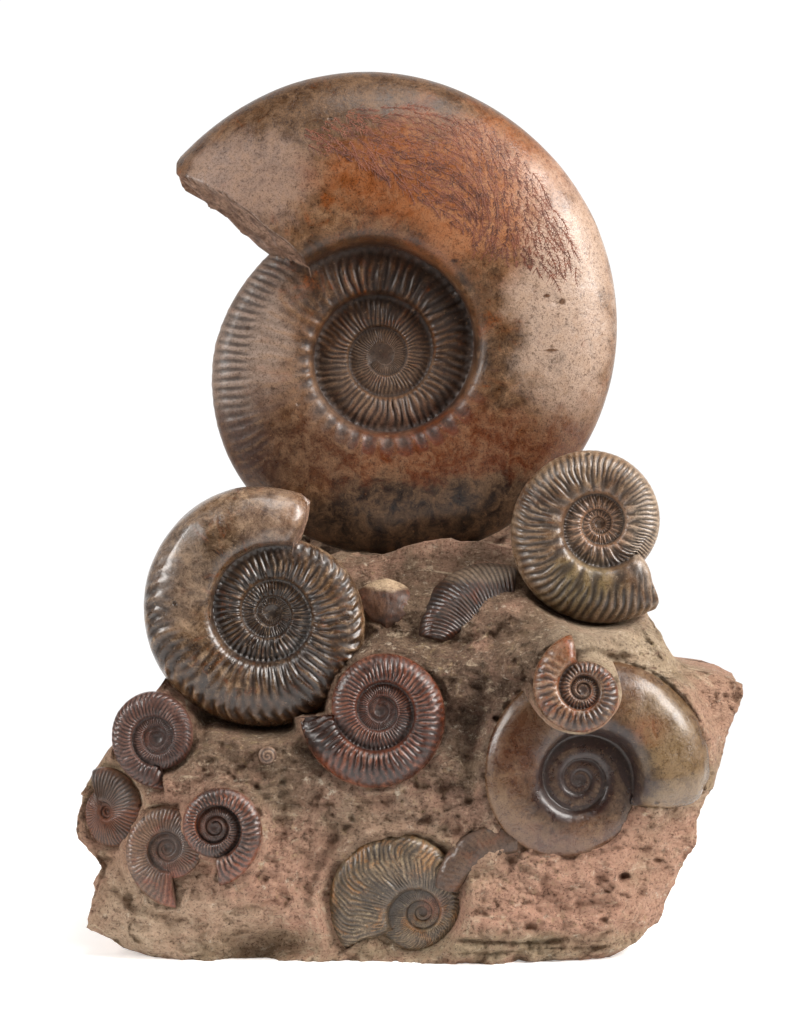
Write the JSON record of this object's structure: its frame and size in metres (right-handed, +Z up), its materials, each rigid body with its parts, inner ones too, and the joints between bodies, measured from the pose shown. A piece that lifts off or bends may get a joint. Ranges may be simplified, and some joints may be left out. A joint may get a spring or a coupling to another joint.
{
  "type": "ammonite cluster plate",
  "caption": "Free-standing block of limestone with ribbed and smooth coiled fossil shells prepared out of its face and a large broken-mouthed shell standing on its top edge.",
  "frame": {"origin": "middle of the flat base, at the centre of the bounding box", "axes": "+Z up, -Y towards the front with the prepared shells, +X to the right seen from the front"},
  "size_m": [0.4621, 0.2283, 0.6095],
  "materials": {
    "limestone": "matte, mottled pink and beige",
    "brown_shell": "polished fossil shell, warm brown with rust patches",
    "dark_shell": "polished fossil shell, dark olive brown",
    "grey_shell": "polished fossil shell, grey brown",
    "red_shell": "polished fossil shell, red brown",
    "olive_shell": "polished fossil shell, olive grey",
    "tan_shell": "satin fossil shell, tan",
    "purple_shell": "satin fossil shell, purple brown",
    "rust_shell": "satin fossil shell, rust brown",
    "moss_shell": "worn fossil shell, green grey"
  },
  "bodies": {
    "root": {"rock": "limestone", "great_ammonite": "brown_shell", "left_ammonite": "dark_shell", "ribbed_ammonite": "grey_shell", "red_ammonite": "red_shell", "smooth_ammonite": "olive_shell", "small_ammonite": "tan_shell", "dark_ammonite": "purple_shell", "edge_ammonite": "rust_shell", "buried_ammonite": "rust_shell", "glossy_ammonite": "red_shell", "sunken_ammonite": "moss_shell", "ghost_whorl": "moss_shell", "shelf_whorl": "dark_shell", "shelf_fragment": "rust_shell", "tiny_ammonite": "tan_shell"}
  },
  "joints": []
}
